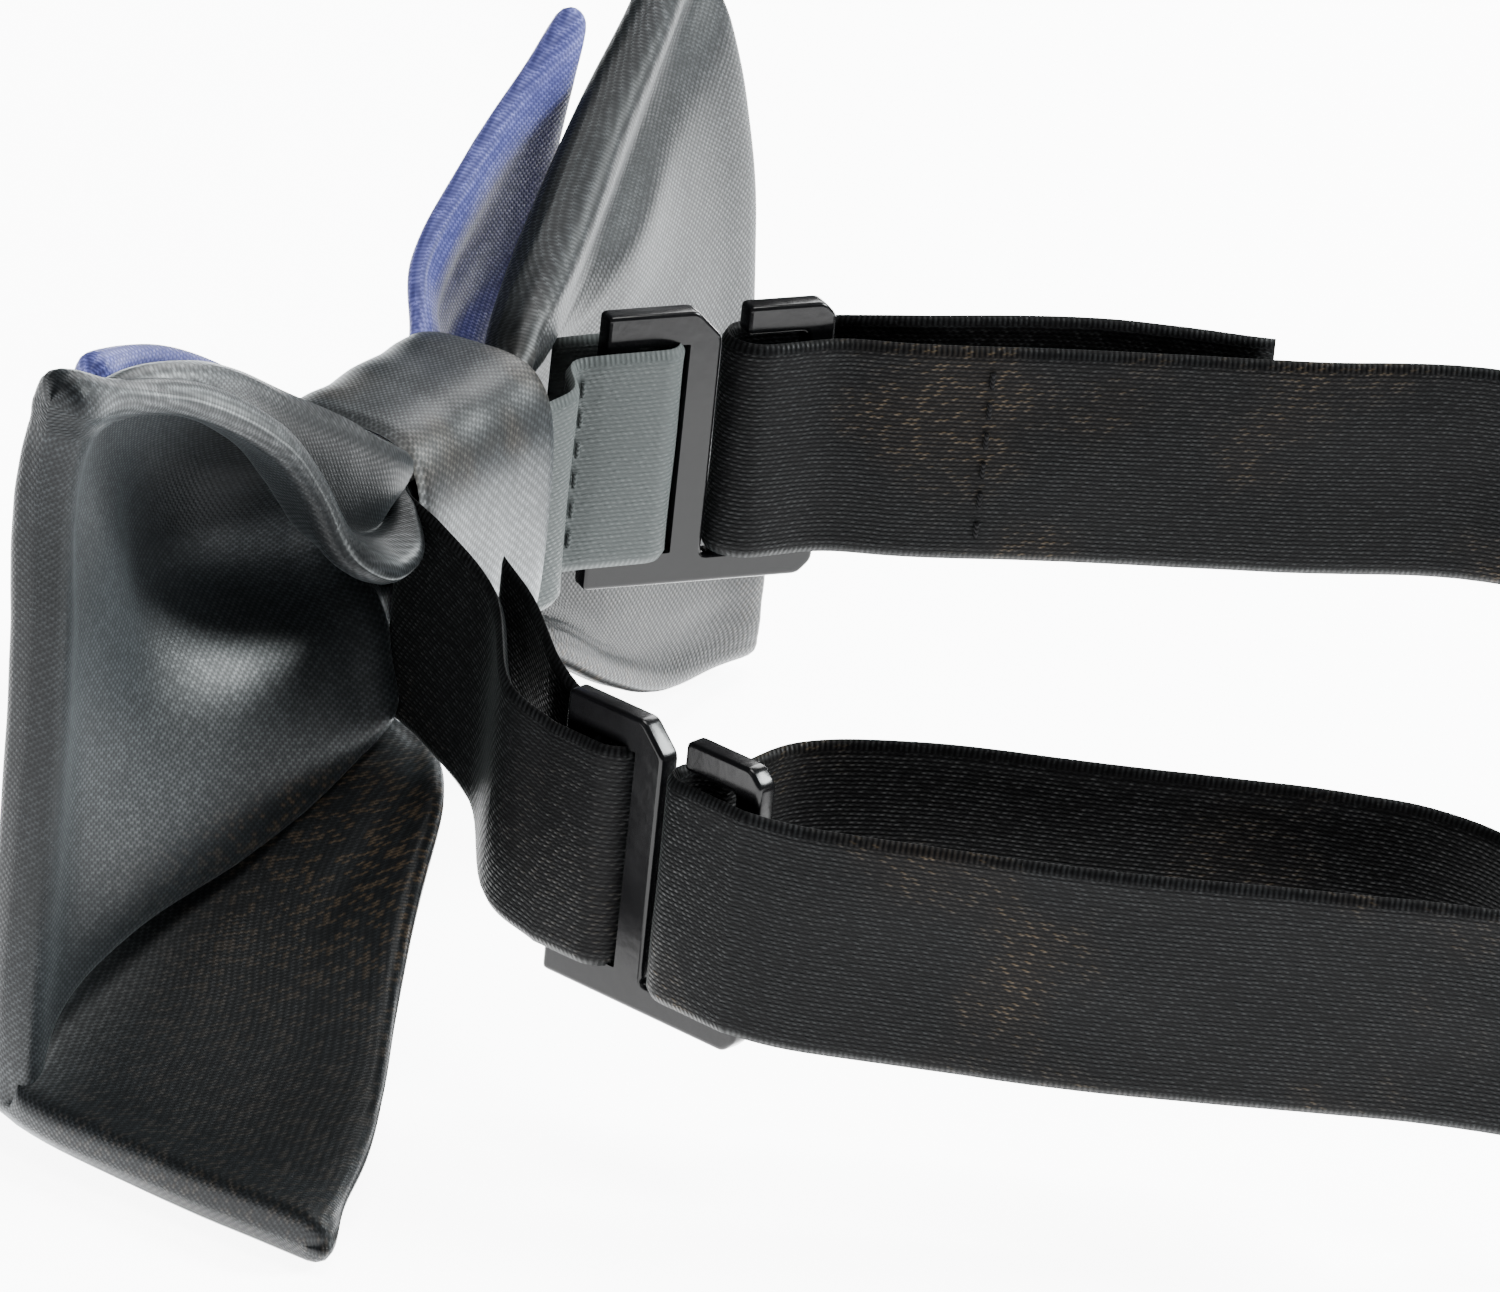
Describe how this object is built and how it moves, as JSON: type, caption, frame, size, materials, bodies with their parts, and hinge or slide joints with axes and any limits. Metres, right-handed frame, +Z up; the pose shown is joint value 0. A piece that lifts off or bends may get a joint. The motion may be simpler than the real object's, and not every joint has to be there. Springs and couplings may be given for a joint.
{
  "type": "bow tie",
  "caption": "Pre-tied two-layer satin bow tie on a ribbon neckband that lifts off open-slot plastic hooks.",
  "frame": {"origin": "centre of the flat back face of the knot", "axes": "+X along the bow towards the wing beside the long sewn loop, +Y from the knot towards the wearer's neck, +Z up"},
  "size_m": [0.1445, 0.1576, 0.0657],
  "materials": {
    "black_satin": "black satin",
    "navy_satin": "navy satin",
    "ribbon": "black satin ribbon",
    "interlining": "pressed felt",
    "thread": "spun thread",
    "hook_plastic": "glossy black"
  },
  "bodies": {
    "bow": {"back_bow": "black_satin", "back_bow_interlining": "interlining", "front_bow": "navy_satin", "front_bow_interlining": "interlining", "waist_thread": "thread", "centre_wrap": "black_satin", "wrap_interlining": "interlining", "wrap_stitches": "thread", "hook_ribbon": "ribbon", "near_tab_stitches": "thread", "far_tab_stitches": "thread"},
    "near_hook": {"near_hook": "hook_plastic"},
    "far_hook": {"far_hook": "hook_plastic"},
    "band": {"neck_band": "ribbon", "near_loop_stitches": "thread", "band_seam_stitches": "thread", "far_loop_stitches": "thread"}
  },
  "joints": [
    {"name": "near_hook_swing", "type": "hinge", "parent": "bow", "child": "near_hook", "pos_m": [0.0238, 0.02201, -0.00925], "axis": [0, 0, 1], "range_deg": [-2.5, 2.5]},
    {"name": "far_hook_swing", "type": "hinge", "parent": "bow", "child": "far_hook", "pos_m": [-0.02349, -0.00243, 0.0015], "axis": [0, 0, 1], "range_deg": [-2.5, 2.5]},
    {"name": "band_lift", "type": "slide", "parent": "bow", "child": "band", "axis": [0, 0, 1], "range_m": [0, 0.024]}
  ]
}
